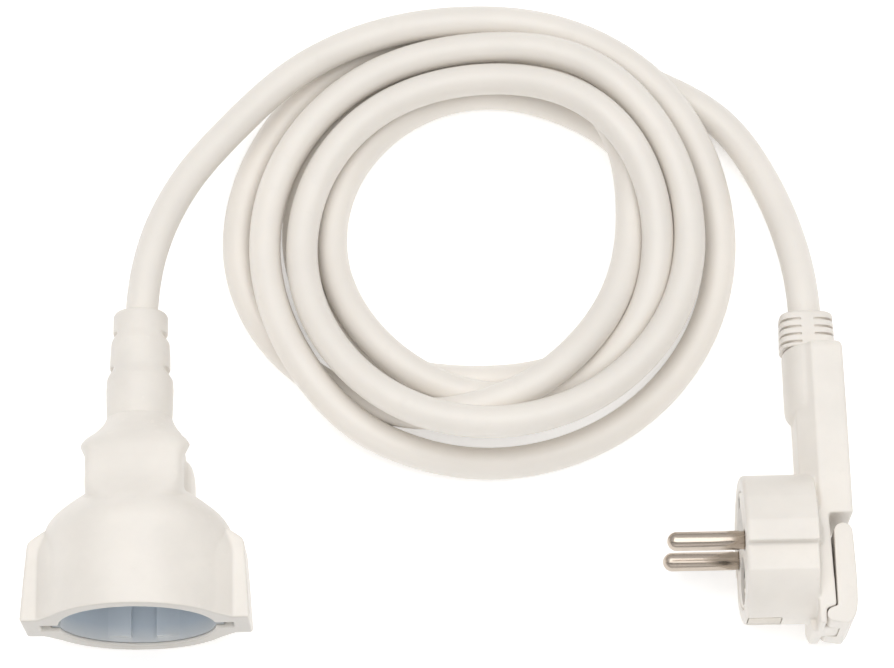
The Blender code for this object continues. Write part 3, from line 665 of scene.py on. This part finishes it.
def ear(side):
    """Flat ear beside the bell, with a rounded shoulder."""
    corners = [(18.0, -18.6, 0.0), (22.6, -18.0, 1.2), (26.8, -20.9, 2.2), (27.4, -28.0, 8.0),
               (EAR_HALF_WIDTH, MOUTH_Y, 0.8), (18.0, MOUTH_Y, 0.0)]
    outline = [(side * x, y) for x, y in rounded(corners)]
    return prism(outline, "z", BELL_R - EAR_HALF_HEIGHT, BELL_R + EAR_HALF_HEIGHT)


def finger_grip(side):
    """Low round swelling on the neck's side."""
    centre = (-3.0, BELL_R - 10.5)
    profile = [(0.6, 9.0), (7.4, 9.0), (7.4, 11.4), (6.9, 12.0), (5.6, 12.7), (3.6, 13.2), (0.6, 13.4)]
    rings = [(radius, side * along) for radius, along in profile]
    return turned(rings, centre, "x", count=64)


def coupling_cavity():
    """Room for the contacts and the cores inside the bell and the neck."""
    sections = [(-20.4, 8.0, 14.9, 8.0), (-1.0, 8.0, 14.9, 8.0), (6.4, 4.0, 6.6, 2.6),
                (12.0, 4.0, 4.0, 2.0)]
    return loft("tool", [super_ring(a, b, power, y, 48) for y, a, b, power in sections])


def make_coupling():
    """Bell, neck, ears and grips in one moulding, open at the mouth."""
    neck = neck_shape()
    cut(neck, side_recess(-1), side_recess(1))
    settle(neck)
    shell = bell_shape()
    add(shell, neck, ear(-1), ear(1), finger_grip(-1), finger_grip(1),
        *[ear_fillet(side, up) for side in (-1, 1) for up in (-1, 1)])
    axis = (0.0, BELL_R)
    mouth = turned([(RECESS_R, MOUTH_Y - 1), (RECESS_R, MOUTH_Y + 2)], axis, "y")
    bore = turned([(CUP_R + GAP, MOUTH_Y + 0.95), (CUP_R + GAP, CARRIER_Y + GAP)], axis, "y")
    slots = box((-CLIP_SLOT_X, MOUTH_Y - 1, BELL_R - CLIP_SLOT_HALF),
                (CLIP_SLOT_X, CUP_BACK_Y - 1, BELL_R + CLIP_SLOT_HALF))
    seat = turned([(6.0, 5.4), (6.0, 11.4), (7.6, 11.5), (7.6, 14.0)], axis, "y")
    cut(shell, mouth, bore, slots, coupling_cavity(), seat)
    mould(shell, 0.34)
    place(shell, "coupling_shell", shell_plastic_painted_rim_shade(), "ivory_housing", "coupling_housing")


def wedge_notch(side, top, depth):
    """Cutter with a level upper face and a sloping lower one, right through the front and back."""
    outer = 9.6
    outline = [(side * outer, top), (side * (8.4 - depth), top), (side * (8.4 - depth), top - 0.7),
               (side * outer, top - 4.2)]
    return prism(outline, "z", BELL_R - 10.0, BELL_R + 10.0)


def make_coupling_relief():
    """Sleeve round the cable, with two notches in each side."""
    axis = (0.0, BELL_R)
    start = NECK_END_Y + 1.2
    profile = [(5.7, 6.0), (5.7, 11.7), (7.4, 11.7), (7.4, start), (8.25, start), (8.4, 16.5),
               (8.5, 20.5), (8.35, 23.2), (7.7, 25.6), (7.6, 29.5), (7.4, 33.0), (6.95, 35.2),
               (6.95, 40.2), (6.5, RELIEF_END_Y - 0.1), (6.1, RELIEF_END_Y)]
    relief = turned(profile, axis, "y")
    cut(relief, turned([(CABLE_R + GAP, 5), (CABLE_R + GAP, 42)], axis, "y"))
    for side in (-1, 1):
        cut(relief, wedge_notch(side, 35.4, 2.9), wedge_notch(side, 26.0, 2.2))
    mould(relief, 0.25, rounds=3)
    place(relief, "coupling_relief", relief_plastic(), "ivory_relief", "coupling_strain_relief")


def make_insert():
    """Cup that lines the recess, with guide pads, pin holes and clip slots. It is made with a spare
    length in front, which is cut off after the bevel so that its front edge stays sharp."""
    axis = (0.0, BELL_R)
    front = MOUTH_Y + 1.0
    spare_front = front - 1.5
    pad_x, pad_z, slot_x = (3.2, 9.9), (17.2, 19.35), (16.6, 24.5)
    cup = turned([(CUP_R, spare_front), (CUP_R, CUP_BACK_Y)], axis, "y", count=128)
    cut(cup, turned([(RECESS_R, spare_front - 1), (RECESS_R, RECESS_FLOOR_Y)], axis, "y", count=128))
    for up in (-1, 1):
        for side in (-1, 1):
            low_x, high_x = sorted(side * x for x in pad_x)
            low_z, high_z = sorted(BELL_R + up * z for z in pad_z)
            add(cup, box((low_x, front + 1.2, low_z), (high_x, RECESS_FLOOR_Y + 1, high_z)))
        cut(cup, turned([(PIN_HOLE_R, RECESS_FLOOR_Y - 1), (PIN_HOLE_R, CUP_BACK_Y + 1)],
                        (0.0, BELL_R + up * PIN_PITCH_HALF), "y", count=48))
        low_x, high_x = sorted(up * x for x in slot_x)
        cut(cup, box((low_x, spare_front - 1, BELL_R - CLIP_SLOT_HALF),
                     (high_x, CUP_BACK_Y + 1, BELL_R + CLIP_SLOT_HALF)))
    bevelled(cup, 0.45)
    cut(cup, box((-CUP_R - 1, spare_front - 1, BELL_R - CUP_R - 1),
                 (CUP_R + 1, front, BELL_R + CUP_R + 1)))
    settle(cup)
    # The cup's colour carries painted shade that deepens into the recess.
    place(cup, "insert_cup", insert_plastic(), "insert_plastic", "socket_insert")


def make_earth_clip(side, node, body):
    """Spring strip in an ear's slot, bent in towards the recess."""
    thickness, half_width = 0.7, 1.9
    path = [(20.4, -22.2), (20.4, -24.6), (18.5, -29.0), (18.1, -31.0), (18.6, -33.0), (20.6, -37.6),
            (21.9, -38.6)]
    inner = smooth_points([(x, y, 0.0) for x, y in path], per_knot=5)[:, :2]
    along = np.gradient(inner, axis=0)
    along /= np.linalg.norm(along, axis=1)[:, None]
    outer = inner + thickness * np.column_stack([-along[:, 1], along[:, 0]])
    outline = [(side * x, y) for x, y in [*inner, *outer[::-1]]]
    strip = prism(outline, "z", BELL_R - half_width, BELL_R + half_width)
    bevelled(strip, 0.12, 50.0)
    place(strip, node + "_strip", strip_nickel(), "nickel", node, body=body)


# ---------------------------------------------------------------- plug

def plug_outline(radius, count=48):
    """Section of the round body: an arc on each side, and a flat with a rib above and below."""
    start, sweep = math.radians(FLAT_ANGLE), math.radians(180.0 - 2 * FLAT_ANGLE)
    angles = [start + sweep * i / (count - 1) for i in range(count)]
    flat = radius * math.cos(start)
    right = [(radius * math.sin(angle), radius * math.cos(angle)) for angle in angles]
    left = [(-y, z) for y, z in reversed(right)]
    bottom = [(RIB_HALF + 1.5, -flat - 1.9), (RIB_HALF, -radius), (-RIB_HALF, -radius), (-RIB_HALF, -flat)]
    top = [(-RIB_HALF, flat), (-RIB_HALF, radius), (RIB_HALF, radius), (RIB_HALF + 1.5, flat + 1.9)]
    return [*right, *bottom, *left, *top]


def plug_body():
    """Round body with a softened face, and a fillet where its back runs into the arm."""
    face = [(FACE_X + x, 1 - inset / PLUG_R)
            for x, inset in ((0.0, 1.0), (0.15, 0.6), (0.45, 0.25), (0.9, 0.05), (1.5, 0.0))]
    fillet = [(BODY_BACK_X, 1.0)]
    for angle in (15, 30, 45, 60, 75):
        turn = math.radians(angle)
        fillet.append((BODY_BACK_X + 2.0 * (1 - math.cos(turn)), 1 - 0.40 * math.sin(turn)))
    outline = plug_outline(PLUG_R)
    return loft("plug_shell", [[(x, PLUG_Y + y * share, PLUG_R + z * share) for y, z in outline]
                               for x, share in [*face, *fillet]])


def arm_body():
    """Arm that runs to the cable, narrowing towards its front and softened at its end."""
    def section(y, front, ridge, back, half):
        slope = min(half, 4.6)
        corners = [(front, slope - half, 0.8), (front, half - slope, 0.8), (ridge, half, 0.5),
                   (back, half, 0.6), (back, -half, 0.6), (ridge, -half, 0.5)]
        return [(x, y, PLUG_R + z) for x, z in rounded(corners, 4)]
    rings = [section(y, ARM_FRONT_X + front, ARM_RIDGE_X + ridge, ARM_BACK_X - back, ARM_HALF - inset)
             for y, front, ridge, back, inset in
             ((ARM_STEP_Y, 0, 0, 0, 0), (10, 0, 0, 0, 0), (ARM_TOP_Y - 1.6, 0.1, 0, 0.1, 0),
              (ARM_TOP_Y - 0.7, 0.4, 0.05, 0.4, 0.3), (ARM_TOP_Y - 0.2, 0.8, 0.1, 1.0, 0.8),
              (ARM_TOP_Y, 1.2, 0.2, 1.7, 1.4))]
    return loft("tool", rings)


def plate():
    """Thin back wall past the arm's step, which the lever folds against."""
    corners = [(167.0, ARM_STEP_Y + 1, 0), (PLATE_BACK_X, ARM_STEP_Y + 1, 0), (172.45, -40.5, 0.8),
               (170.0, -41.3, 0.4), (169.8, PLATE_END_Y, 0.4), (168.3, PLATE_END_Y, 0.6), (168.2, -36.0, 0),
               (167.0, -32.0, 0)]
    return prism(rounded(corners), "z", PLUG_R - ARM_HALF, PLUG_R + ARM_HALF)


def plate_foot():
    """Widening of the plate's end behind the lower half of the round body."""
    corners = [(169.0, PLATE_END_Y, 0.0), (167.3, PLATE_END_Y, 1.0), (166.5, -42.4, 0.8),
               (167.0, -37.0, 1.0), (169.0, -35.0, 0)]
    return prism(rounded(corners), "z", PLUG_R - ARM_HALF, PLUG_R + 2.5)


def hinge_lug():
    """Knuckle in the middle of the plate's end, for the hinge pin."""
    x, y = HINGE
    radius, end = KNUCKLE_R + 0.60, PLATE_END_Y + 0.4
    arc = [math.radians(-90 + 10 * i) for i in range(19)]
    outline = [(x + radius * math.cos(a), max(y + radius * math.sin(a), end)) for a in arc]
    outline += [(168.6, y + radius), (168.6, end)]
    return prism(outline, "z", PLUG_R - LUG_HALF - 0.2, PLUG_R + LUG_HALF + 0.2)


def cable_boss():
    """Swelling over the cable on the arm's wall side, with a rounded lower end."""
    foot, straight, power = 9.2, 13.2, 2.6
    half_x, half_z = BOSS_HALF
    steps = [foot + (straight - foot) * (1 - math.cos(math.radians(a))) for a in range(6, 91, 7)]
    shares = [(max(0.0, 1 - ((straight - y) / (straight - foot)) ** power) ** (1 / power), y)
              for y in steps]
    shares += [(1.0, straight + 1), (1.0, ARM_TOP_Y - 1.6), (0.985, ARM_TOP_Y - 0.9),
               (0.94, ARM_TOP_Y - 0.3)]
    return loft("tool", [super_ring(half_x * share, half_z * share, 2.0, y, 96, (CABLE_X, PLUG_R))
                         for share, y in shares])


def strap_channel(side):
    """Groove in the body's side for a limb of the earth strap, and its way in from the middle."""
    groove_half, way_half = EARTH_LIMB_HALF + 0.15, 4.3
    low, high = sorted((PLUG_Y + side * 16.5, PLUG_Y + side * 20.0))
    groove = box((FACE_X + 0.8, low, PLUG_R - groove_half), (FACE_X + 9.2, high, PLUG_R + groove_half))
    low, high = sorted((PLUG_Y, PLUG_Y + side * 18.0))
    way_in = box((BRIDGE_BACK_X, low, PLUG_R - way_half), (FACE_X + 9.6, high, PLUG_R + way_half))
    return groove, way_in


def lever_room():
    """Outline of the room that the lever's knuckle needs round the hinge."""
    x, y = HINGE
    reach = KNUCKLE_R + 0.12
    arc = [math.radians(80 + 10 * i) for i in range(19)]
    round_part = [(x + reach * math.cos(a), y + reach * math.sin(a)) for a in arc]
    return [(x + 4, y + 2.6), *round_part, (x + 4, y - 4)]


def make_plug_shell():
    """Round body, arm, plate and hinge lug in one moulding, hollow for the contacts and the cable."""
    shell = plug_body()
    add(shell, arm_body(), plate(), plate_foot(), hinge_lug(), cable_boss())
    lug_half = LUG_HALF + 0.2
    face_pocket = turned([(BRIDGE_R + GAP, FACE_X - 1), (BRIDGE_R + GAP, POCKET_BACK_X)],
                         (PLUG_Y, PLUG_R), "x")
    wire_ways = [
        turned([(4.6, POCKET_BACK_X - 1), (4.6, PLATE_BACK_X - 1.2)], (PLUG_Y + 2, PLUG_R), "x", count=40),
        turned([(2.2, ARM_STEP_Y - 4), (2.2, -14.0)], (CABLE_X - 1.1, PLUG_R), "y", count=40),
        turned([(3.4, ARM_STEP_Y + 1.4), (3.4, 12)], (CABLE_X + 0.6, PLUG_R), "y", count=40)]
    cable_way = turned([(CABLE_R + GAP, 11), (CABLE_R + GAP, 25)], (CABLE_X, PLUG_R), "y", count=48)
    relief_seat = turned([(5.9, 17.6), (5.9, ARM_TOP_Y + 2)], (CABLE_X, PLUG_R), "y", count=64)
    hinge_bore = turned([(HINGE_PIN_R + GAP, PLUG_R - 6), (HINGE_PIN_R + GAP, PLUG_R + 6)],
                        HINGE, "z", count=32)
    lever_rooms = [prism(lever_room(), "z", PLUG_R - ARM_HALF - 1, PLUG_R - lug_half),
                   prism(lever_room(), "z", PLUG_R + lug_half, PLUG_R + ARM_HALF + 1)]
    cut(shell, face_pocket, *wire_ways, cable_way, relief_seat, hinge_bore, *lever_rooms)
    for side in (-1, 1):
        cut(shell, *strap_channel(side))
    mould(shell, 0.33)
    place(shell, "plug_shell", housing_plastic(), "ivory_housing", "plug_housing")


def make_pin_bridge():
    """Disc that carries the pins, with the earth opening towards -Y and a small slot towards +Y."""
    front, back = FACE_X + 0.2, BRIDGE_BACK_X + 1
    disc = turned([(BRIDGE_R, front), (BRIDGE_R, BRIDGE_BACK_X - GAP)], (PLUG_Y, PLUG_R), "x", count=128)
    holes = [(PIN_R + GAP, 0.0, PIN_PITCH_HALF), (PIN_R + GAP, 0.0, -PIN_PITCH_HALF),
             (EARTH_RECESS_R, -7.9, 0.0)]
    for radius, y, z in holes:
        cut(disc, turned([(radius, front - 1), (radius, back)], (PLUG_Y + y, PLUG_R + z), "x", count=64))
    cut(disc, box((front - 1, PLUG_Y + 11.0, PLUG_R - 1.8), (back, PLUG_Y + 13.8, PLUG_R + 1.8)))
    bevelled(disc, 0.25)
    place(disc, "pin_bridge_disc", bridge_plastic_painted_hole_shade(), "ivory_housing", "pin_bridge")


def make_pin(node, up):
    """Round pin with a domed tip, a head behind the bridge and a tail for its wire."""
    tip, root = FACE_X - PIN_LENGTH, BRIDGE_BACK_X
    shank_r, head_r, tail_r = 2.3, 3.3, 1.5
    dome = [(PIN_R * math.sin(math.radians(a)), tip + PIN_R * (1 - math.cos(math.radians(a))))
            for a in range(3, 91, 6)]
    body = [(PIN_R, tip + PIN_R + 0.2), (PIN_R, FACE_X - 1.2), (shank_r, FACE_X - 1.0), (shank_r, root),
            (head_r, root + 0.1), (head_r, root + 1.4), (tail_r, root + 1.6), (tail_r, root + 4.4)]
    pin = turned([*dome, *body], (PLUG_Y, PLUG_R + up * PIN_PITCH_HALF), "x", count=64)
    pin.data.shade_smooth()
    pin.data.set_sharp_from_angle(angle=math.radians(40))
    place(pin, node + "_contact", pin_nickel(), "nickel", node)


def make_earth_strap():
    """Strip behind the bridge, bent forward into a limb at each side of the body."""
    base_low, base_high = BRIDGE_BACK_X + 0.1, FACE_X + 9.3
    half, base_reach, limb_start, limb_reach = 4.0, 16.9, 16.8, 18.35
    strap = box((base_low, PLUG_Y - base_reach, PLUG_R - half),
                (base_high, PLUG_Y + base_reach, PLUG_R + half))
    for side in (-1, 1):
        low, high = sorted((PLUG_Y + side * limb_start, PLUG_Y + side * limb_reach))
        add(strap, box((FACE_X + 0.9, low, PLUG_R - EARTH_LIMB_HALF),
                       (base_high - 0.2, high, PLUG_R + EARTH_LIMB_HALF)))
    cut(strap, turned([(EARTH_HOLE_R, base_low - 1), (EARTH_HOLE_R, base_high + 1)],
                      (EARTH_HOLE_Y, PLUG_R), "x", count=48))
    bevelled(strap, 0.15)
    place(strap, "earth_strap", strip_nickel(), "nickel", "plug_earth_bracket")


def make_earth_sleeve():
    """Female earth contact, closed at its back."""
    axis = (EARTH_HOLE_Y, PLUG_R)
    outer_r, inner_r = 2.9, 2.42
    front, back = FACE_X + 0.6, FACE_X + 14.4
    sleeve = turned([(outer_r, front), (outer_r, back)], axis, "x", count=48)
    cut(sleeve, turned([(inner_r, front - 1), (inner_r, back - 1)], axis, "x", count=48))
    bevelled(sleeve, 0.1)
    place(sleeve, "earth_sleeve", strip_nickel(), "nickel", "earth_socket_sleeve")


def make_lever():
    """Lever with its knuckle at the hinge, a round top and a slot for the plate's lug."""
    x, y = HINGE
    arc = [math.radians(270 - 10 * i) for i in range(17)]
    knuckle = [(x + KNUCKLE_R * math.cos(a), y + KNUCKLE_R * math.sin(a)) for a in arc]
    top_x, top_y, top_r = 175.15, -21.9, 2.3
    top = [(top_x + top_r * math.cos(math.radians(a)), top_y + top_r * math.sin(math.radians(a)))
           for a in range(175, 4, -10)]
    back = [(177.62, -26.0), (177.78, -31.0), (177.8, -36.0), (177.7, -39.5), (177.4, -41.8)]
    outline = [*knuckle, (172.75, -40.6), (172.8, -30.0), *top, *back, (176.9, -43.3), (175.4, -45.3)]
    lever = prism(outline, "z", PLUG_R - ARM_HALF, PLUG_R + ARM_HALF)
    slot_r, depth = KNUCKLE_R + 0.7, HINGE_PIN_HALF + GAP
    cut(lever,
        turned([(slot_r, PLUG_R - LUG_HALF - GAP), (slot_r, PLUG_R + LUG_HALF + GAP)], HINGE, "z"),
        turned([(HINGE_PIN_R + GAP, PLUG_R - depth), (HINGE_PIN_R + GAP, PLUG_R + depth)],
               HINGE, "z", count=32))
    mould(lever, 0.22, rounds=7)
    place(lever, "lever_grip", housing_plastic(), "ivory_housing", "pull_lever", body="lever")


def make_hinge_pin():
    pin = turned([(HINGE_PIN_R, PLUG_R - HINGE_PIN_HALF), (HINGE_PIN_R, PLUG_R + HINGE_PIN_HALF)],
                 HINGE, "z", count=48)
    bevelled(pin, 0.2)
    place(pin, "hinge_pin", pin_nickel(), "nickel", "lever_hinge_pin")


def relief_groove(side, y, centre):
    """Thin groove round one side, as deep as the wall over the cable allows."""
    x, z = centre
    low, high = sorted((x + side * 1.65, x + side * 8.5))
    groove = box((low, y - 0.3, z - 8.0), (high, y + 0.3, z + 8.0))
    half_x, half_z = PLUG_RELIEF_HALF
    core = [super_ring(half_x - 1.5, half_z - 0.85, 3.0, along, 96, centre) for along in (y - 1, y + 1)]
    cut(groove, loft("tool", core))
    settle(groove)
    return groove


def make_plug_relief():
    """Box-like slit sleeve on a round neck that sits in the arm."""
    centre = (CABLE_X, PLUG_R)
    half_x, half_z = PLUG_RELIEF_HALF
    neck, taper, foot, end = 5.6, 0.25, ARM_TOP_Y, PLUG_RELIEF_END_Y
    sections = [(neck, neck, 2.0, 17.9), (neck, neck, 2.0, foot),
                (half_x - 0.2, half_z - 0.2, 3.6, foot + 0.15), (half_x, half_z, 3.6, foot + 0.5),
                (half_x - taper, half_z - taper, 3.6, end - 0.9),
                (half_x - taper - 0.15, half_z - taper - 0.15, 3.5, end - 0.4),
                (half_x - 0.9, half_z - 0.8, 3.2, end)]
    relief = loft("plug_relief", [super_ring(a, b, power, y, 128, centre) for a, b, power, y in sections])
    cut(relief, turned([(CABLE_R + GAP, 17), (CABLE_R + GAP, end + 1)], centre, "y"))
    first, pitch = 36.1, 2.05
    for side, number in ((-1, 4), (1, 3)):
        cut(relief, *[relief_groove(side, first - pitch * i, centre) for i in range(number)])
    mould(relief, 0.16, rounds=1)
    place(relief, "plug_relief", relief_plastic(), "ivory_relief", "plug_strain_relief")


# ---------------------------------------------------------------- carried-over CAD nodes

def finish_inner_pieces():
    """Gives the CAD nodes that stay in the model their own materials."""
    finishes = {"contact_carrier": insert_plastic(), "line_contact_sleeve": brass(),
                "neutral_contact_sleeve": brass(), "earth_bridge": strip_nickel()}
    for end in ("socket", "plug"):
        finishes["line_core_" + end] = core_insulation("core_brown_" + end, (0.25, 0.11, 0.05))
        finishes["neutral_core_" + end] = core_insulation("core_blue_" + end, (0.05, 0.17, 0.55))
        finishes["earth_core_" + end] = core_insulation("core_earth_" + end, (0.45, 0.60, 0.08))
    for name, finish in finishes.items():
        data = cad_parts[name].data
        data.materials.clear()
        data.materials.append(finish)


# ---------------------------------------------------------------- floor and light

def make_floor():
    n = Nodes("floor_paper", IOR=1.3, Emission_Color=(1.0, 1.0, 1.0, 1.0), Emission_Strength=FLOOR_GLOW)
    tone = n.noise(3.0, 2.0)
    fibre = n.noise(900.0, 3.0)
    colour = n.mix(tone, (0.95, 0.95, 0.95), (0.965, 0.965, 0.965))
    finish = n.finish(colour, n.ramp(tone, 0.0, 1.0, 0.85, 0.95), n.bump(fibre, 0.01))
    bpy.ops.mesh.primitive_plane_add(size=6.0, location=(0.08, 0.04, 0.0))
    floor = bpy.context.object
    floor.name = "floor"
    floor.data.materials.append(finish)


def area_light(name, location, size, power):
    """Rectangular white light, aimed at the middle of the set."""
    data = bpy.data.lights.new(name, "AREA")
    data.shape = "RECTANGLE"
    data.size, data.size_y = size
    data.energy = power
    light = bpy.data.objects.new(name, data)
    light.location = location
    aim = Vector((0.085, 0.04, 0.0)) - Vector(location)
    light.rotation_euler = aim.to_track_quat("-Z", "Y").to_euler()
    bpy.context.scene.collection.objects.link(light)


def make_world():
    """White surround that dims towards the horizon, with a dark strip high in front that draws a
    line along polished metal."""
    world = bpy.data.worlds.new("studio")
    world.use_nodes = True
    tree = world.node_tree

    def math_node(operation, *values):
        made = tree.nodes.new("ShaderNodeMath")
        made.operation = operation
        for socket, value in zip(made.inputs, values):
            if hasattr(value, "is_output"):
                tree.links.new(value, socket)
            else:
                socket.default_value = value
        return made.outputs["Value"]

    split = tree.nodes.new("ShaderNodeSeparateXYZ")
    tree.links.new(tree.nodes.new("ShaderNodeTexCoord").outputs["Generated"], split.inputs["Vector"])
    height = math_node("ARCTAN2", split.outputs["Z"], math_node("MULTIPLY", split.outputs["Y"], -1.0))
    away = math_node("ABSOLUTE", math_node("SUBTRACT", height, math.radians(STRIP_HEIGHT)))
    strength = tree.nodes.new("ShaderNodeMapRange")
    strength.inputs["From Min"].default_value = math.radians(STRIP_HALF_WIDTH - STRIP_EDGE)
    strength.inputs["From Max"].default_value = math.radians(STRIP_HALF_WIDTH + STRIP_EDGE)
    strength.inputs["To Min"].default_value = STRIP_STRENGTH
    strength.inputs["To Max"].default_value = WORLD_STRENGTH
    tree.links.new(away, strength.inputs["Value"])
    background = tree.nodes["Background"]
    background.inputs["Color"].default_value = (1.0, 1.0, 1.0, 1.0)
    lift = tree.nodes.new("ShaderNodeMapRange")
    lift.inputs["From Max"].default_value = FULL_HEIGHT
    lift.inputs["To Min"].default_value = HORIZON_SHARE
    tree.links.new(split.outputs["Z"], lift.inputs["Value"])
    tree.links.new(math_node("MULTIPLY", strength.outputs["Result"], lift.outputs["Result"]),
                   background.inputs["Strength"])
    bpy.context.scene.world = world


def make_light():
    make_world()
    area_light("top_softbox", (0.08, 0.02, 1.3), (1.6, 1.2), 10.5)
    area_light("front_strip", (0.05, -1.2, 0.6), (1.2, 0.25), 0.5)
    bpy.context.scene.view_settings.view_transform = "Standard"


make_camera()
cable, cable_length = make_cable()
make_coupling()
make_coupling_relief()
make_insert()
make_earth_clip(-1, "earth_clip_left", "left_clip")
make_earth_clip(1, "earth_clip_right", "right_clip")
make_plug_shell()
make_pin_bridge()
make_pin("pin_line", 1)
make_pin("pin_neutral", -1)
make_earth_strap()
make_earth_sleeve()
make_lever()
make_hinge_pin()
make_plug_relief()
finish_inner_pieces()
make_floor()
make_light()

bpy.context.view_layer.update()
